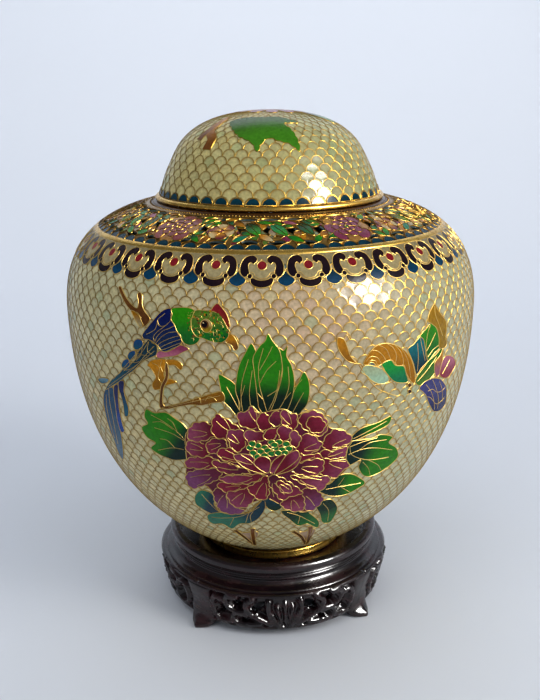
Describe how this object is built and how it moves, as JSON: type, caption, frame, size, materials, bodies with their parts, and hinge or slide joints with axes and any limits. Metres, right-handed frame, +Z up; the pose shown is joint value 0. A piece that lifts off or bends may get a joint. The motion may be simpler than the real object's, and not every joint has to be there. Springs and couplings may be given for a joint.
{
  "type": "openwork enamel pot",
  "caption": "Round ginger jar of fish-scale enamel with a pierced gilt shoulder and a domed lift-off lid, on a carved dark wood stand.",
  "frame": {"origin": "on the pot's axis, at the height of the stand's feet", "axes": "+Z up along the pot's axis; -Y towards the viewer, on the side with the peony"},
  "size_m": [0.16, 0.16, 0.2003],
  "materials": {
    "enamel": "glossy translucent enamel in gilt wire cells",
    "lid_enamel": "glossy translucent enamel in gilt wire cells",
    "gilt_brass": "polished gilt, a little worn",
    "rosewood": "dark lacquered rosewood"
  },
  "bodies": {
    "root": {"jar_body": "enamel", "jar_hip": "enamel", "openwork_shoulder": "enamel", "lid_dome": "lid_enamel", "neck_collar": "gilt_brass", "foot_ring": "gilt_brass", "lid_rim": "gilt_brass", "stand": "rosewood"}
  },
  "joints": []
}
